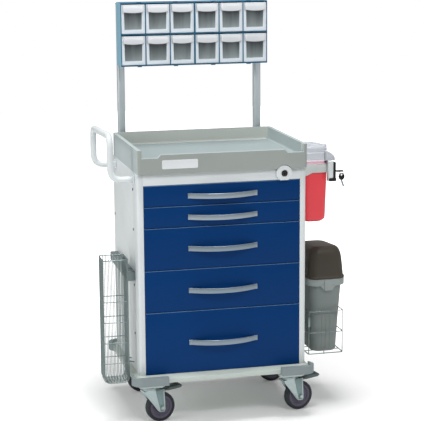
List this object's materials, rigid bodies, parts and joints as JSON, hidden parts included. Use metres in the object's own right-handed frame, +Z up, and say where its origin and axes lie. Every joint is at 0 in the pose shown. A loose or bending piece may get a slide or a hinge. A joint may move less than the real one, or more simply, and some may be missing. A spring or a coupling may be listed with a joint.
{
  "type": "anesthesia cart",
  "caption": "Medical procedure cart on swivel casters with stacked drawers, a tray worktop, a rack of tilt-out bins, push handle, wire basket, sharps container and waste bin.",
  "frame": {"origin": "on the floor under the middle of the cabinet, halfway between the drawer fronts and the back panel", "axes": "+X to the right as seen by someone who faces the drawers, +Y from the drawers to the back, +Z up"},
  "size_m": [1.057, 0.6492, 1.708],
  "materials": {
    "painted_white": "powder coat, semi-gloss",
    "drawer_blue": "powder coat, semi-gloss",
    "tray_grey": "moulded, fine texture",
    "bumper_grey": "moulded, matt",
    "rail_grey": "anodised",
    "lock_metal": "satin",
    "zinc": "zinc plated",
    "slide_steel": "zinc plated",
    "chrome_wire": "bright plated wire",
    "black_plastic": "moulded",
    "tyre": "grey-black rubber on a grey nylon hub",
    "bin_white": "moulded, with a smoked window",
    "rack_blue": "blue housings on grey steel posts",
    "waste_grey": "moulded, fine texture",
    "hood_brown": "moulded, satin",
    "sharps_red": "translucent red, moulded",
    "lid_clear": "milky translucent",
    "handle_alu": "satin"
  },
  "bodies": {
    "root": {"side_panel_left": "painted_white", "side_panel_right": "painted_white", "back_panel": "painted_white", "base_frame": "painted_white", "top_frame": "painted_white", "worktop_tray": "tray_grey", "corner_bumpers": "bumper_grey", "push_handle": "painted_white", "lock_barrel": "lock_metal", "slide_rails": "slide_steel", "bin_rack": "rack_blue", "accessory_rail": "rail_grey", "wire_basket": "chrome_wire", "waste_bin_holder": "chrome_wire", "sharps_bracket": "zinc", "mounting_hardware": "zinc"},
    "drawer_1": {"drawer_1_box": "slide_steel", "drawer_1_front": "drawer_blue", "drawer_1_handle": "handle_alu"},
    "drawer_2": {"drawer_2_box": "slide_steel", "drawer_2_front": "drawer_blue", "drawer_2_handle": "handle_alu"},
    "drawer_3": {"drawer_3_box": "slide_steel", "drawer_3_front": "drawer_blue", "drawer_3_handle": "handle_alu"},
    "drawer_4": {"drawer_4_box": "slide_steel", "drawer_4_front": "drawer_blue", "drawer_4_handle": "handle_alu"},
    "drawer_5": {"drawer_5_box": "slide_steel", "drawer_5_front": "drawer_blue", "drawer_5_handle": "handle_alu"},
    "lock_plug": {"lock_plug": "black_plastic"},
    "lock_bar": {"lock_bar": "slide_steel"},
    "tilt_bin_1": {"tilt_bin_1": "bin_white"},
    "tilt_bin_2": {"tilt_bin_2": "bin_white"},
    "tilt_bin_3": {"tilt_bin_3": "bin_white"},
    "tilt_bin_4": {"tilt_bin_4": "bin_white"},
    "tilt_bin_5": {"tilt_bin_5": "bin_white"},
    "tilt_bin_6": {"tilt_bin_6": "bin_white"},
    "tilt_bin_7": {"tilt_bin_7": "bin_white"},
    "tilt_bin_8": {"tilt_bin_8": "bin_white"},
    "tilt_bin_9": {"tilt_bin_9": "bin_white"},
    "tilt_bin_10": {"tilt_bin_10": "bin_white"},
    "tilt_bin_11": {"tilt_bin_11": "bin_white"},
    "tilt_bin_12": {"tilt_bin_12": "bin_white"},
    "fork_front_left": {"fork_front_left": "zinc"},
    "wheel_front_left": {"wheel_front_left": "tyre"},
    "brake_pedal_left": {"brake_pedal_left": "black_plastic"},
    "fork_front_right": {"fork_front_right": "zinc"},
    "wheel_front_right": {"wheel_front_right": "tyre"},
    "brake_pedal_right": {"brake_pedal_right": "black_plastic"},
    "fork_rear_left": {"fork_rear_left": "zinc"},
    "wheel_rear_left": {"wheel_rear_left": "tyre"},
    "fork_rear_right": {"fork_rear_right": "zinc"},
    "wheel_rear_right": {"wheel_rear_right": "tyre"},
    "waste_bin": {"waste_bin": "waste_grey"},
    "waste_hood": {"waste_hood": "hood_brown"},
    "sharps_container": {"sharps_container": "sharps_red"},
    "sharps_lid": {"sharps_lid": "lid_clear"},
    "sharps_key": {"sharps_key": "black_plastic"}
  },
  "joints": [
    {"name": "drawer_1_slide", "type": "slide", "parent": "root", "child": "drawer_1", "axis": [0, -1, 0], "range_m": [0, 0.4]},
    {"name": "drawer_2_slide", "type": "slide", "parent": "root", "child": "drawer_2", "axis": [0, -1, 0], "range_m": [0, 0.4]},
    {"name": "drawer_3_slide", "type": "slide", "parent": "root", "child": "drawer_3", "axis": [0, -1, 0], "range_m": [0, 0.4]},
    {"name": "drawer_4_slide", "type": "slide", "parent": "root", "child": "drawer_4", "axis": [0, -1, 0], "range_m": [0, 0.4]},
    {"name": "drawer_5_slide", "type": "slide", "parent": "root", "child": "drawer_5", "axis": [0, -1, 0], "range_m": [0, 0.4]},
    {"name": "lock_turn", "type": "hinge", "parent": "root", "child": "lock_plug", "pos_m": [0.256, -0.266, 1.036], "axis": [0, -1, 0], "range_deg": [0, 90]},
    {"name": "lock_bar_lift", "type": "slide", "parent": "root", "child": "lock_bar", "axis": [0, 0, 1], "range_m": [0, 0.0113]},
    {"name": "tilt_bin_1_tilt", "type": "hinge", "parent": "root", "child": "tilt_bin_1", "pos_m": [-0.2665, 0.212, 1.583], "axis": [1, 0, 0], "range_deg": [0, 45]},
    {"name": "tilt_bin_2_tilt", "type": "hinge", "parent": "root", "child": "tilt_bin_2", "pos_m": [-0.1605, 0.212, 1.583], "axis": [1, 0, 0], "range_deg": [0, 45]},
    {"name": "tilt_bin_3_tilt", "type": "hinge", "parent": "root", "child": "tilt_bin_3", "pos_m": [-0.0545, 0.212, 1.583], "axis": [1, 0, 0], "range_deg": [0, 45]},
    {"name": "tilt_bin_4_tilt", "type": "hinge", "parent": "root", "child": "tilt_bin_4", "pos_m": [0.0545, 0.212, 1.583], "axis": [1, 0, 0], "range_deg": [0, 45]},
    {"name": "tilt_bin_5_tilt", "type": "hinge", "parent": "root", "child": "tilt_bin_5", "pos_m": [0.1605, 0.212, 1.583], "axis": [1, 0, 0], "range_deg": [0, 45]},
    {"name": "tilt_bin_6_tilt", "type": "hinge", "parent": "root", "child": "tilt_bin_6", "pos_m": [0.2665, 0.212, 1.583], "axis": [1, 0, 0], "range_deg": [0, 45]},
    {"name": "tilt_bin_7_tilt", "type": "hinge", "parent": "root", "child": "tilt_bin_7", "pos_m": [-0.2665, 0.212, 1.4505], "axis": [1, 0, 0], "range_deg": [0, 45]},
    {"name": "tilt_bin_8_tilt", "type": "hinge", "parent": "root", "child": "tilt_bin_8", "pos_m": [-0.1605, 0.212, 1.4505], "axis": [1, 0, 0], "range_deg": [0, 45]},
    {"name": "tilt_bin_9_tilt", "type": "hinge", "parent": "root", "child": "tilt_bin_9", "pos_m": [-0.0545, 0.212, 1.4505], "axis": [1, 0, 0], "range_deg": [0, 45]},
    {"name": "tilt_bin_10_tilt", "type": "hinge", "parent": "root", "child": "tilt_bin_10", "pos_m": [0.0545, 0.212, 1.4505], "axis": [1, 0, 0], "range_deg": [0, 45]},
    {"name": "tilt_bin_11_tilt", "type": "hinge", "parent": "root", "child": "tilt_bin_11", "pos_m": [0.1605, 0.212, 1.4505], "axis": [1, 0, 0], "range_deg": [0, 45]},
    {"name": "tilt_bin_12_tilt", "type": "hinge", "parent": "root", "child": "tilt_bin_12", "pos_m": [0.2665, 0.212, 1.4505], "axis": [1, 0, 0], "range_deg": [0, 45]},
    {"name": "swivel_front_left", "type": "hinge", "parent": "root", "child": "fork_front_left", "pos_m": [-0.3, -0.206, 0.15], "axis": [0, 0, 1], "continuous": true},
    {"name": "roll_front_left", "type": "hinge", "parent": "fork_front_left", "child": "wheel_front_left", "pos_m": [-0.25615, -0.19588, 0.0625], "axis": [-0.225, 0.9744, 0], "continuous": true},
    {"name": "brake_left", "type": "hinge", "parent": "fork_front_left", "child": "brake_pedal_left", "pos_m": [-0.25128, -0.19475, 0.135], "axis": [-0.225, 0.9744, 0], "range_deg": [0, 8]},
    {"name": "swivel_front_right", "type": "hinge", "parent": "root", "child": "fork_front_right", "pos_m": [0.3, -0.206, 0.15], "axis": [0, 0, 1], "continuous": true},
    {"name": "roll_front_right", "type": "hinge", "parent": "fork_front_right", "child": "wheel_front_right", "pos_m": [0.34385, -0.19588, 0.0625], "axis": [-0.225, 0.9744, 0], "continuous": true},
    {"name": "brake_right", "type": "hinge", "parent": "fork_front_right", "child": "brake_pedal_right", "pos_m": [0.34872, -0.19475, 0.135], "axis": [-0.225, 0.9744, 0], "range_deg": [0, 8]},
    {"name": "swivel_rear_left", "type": "hinge", "parent": "root", "child": "fork_rear_left", "pos_m": [-0.3, 0.206, 0.15], "axis": [0, 0, 1], "continuous": true},
    {"name": "roll_rear_left", "type": "hinge", "parent": "fork_rear_left", "child": "wheel_rear_left", "pos_m": [-0.25615, 0.21612, 0.0625], "axis": [-0.225, 0.9744, 0], "continuous": true},
    {"name": "swivel_rear_right", "type": "hinge", "parent": "root", "child": "fork_rear_right", "pos_m": [0.3, 0.206, 0.15], "axis": [0, 0, 1], "continuous": true},
    {"name": "roll_rear_right", "type": "hinge", "parent": "fork_rear_right", "child": "wheel_rear_right", "pos_m": [0.34385, 0.21612, 0.0625], "axis": [-0.225, 0.9744, 0], "continuous": true},
    {"name": "waste_bin_lift", "type": "slide", "parent": "root", "child": "waste_bin", "axis": [0, 0, 1], "range_m": [0, 0.06]},
    {"name": "waste_hood_lift", "type": "slide", "parent": "waste_bin", "child": "waste_hood", "axis": [0, 0, 1], "range_m": [0, 0.04]},
    {"name": "sharps_container_lift", "type": "slide", "parent": "root", "child": "sharps_container", "axis": [0, 0, 1], "range_m": [0, 0.26]},
    {"name": "sharps_lid_swing", "type": "hinge", "parent": "sharps_container", "child": "sharps_lid", "pos_m": [0.418, 0.09, 1.0583], "axis": [-1, 0, 0], "range_deg": [0, 95]},
    {"name": "sharps_key_turn", "type": "hinge", "parent": "root", "child": "sharps_key", "pos_m": [0.4795, -0.197, 1.02], "axis": [1, 0, 0], "range_deg": [0, 90]}
  ],
  "couplings": [
    {"joint": "lock_turn", "follows": "lock_bar_lift", "rad_per_m": 138.84}
  ]
}
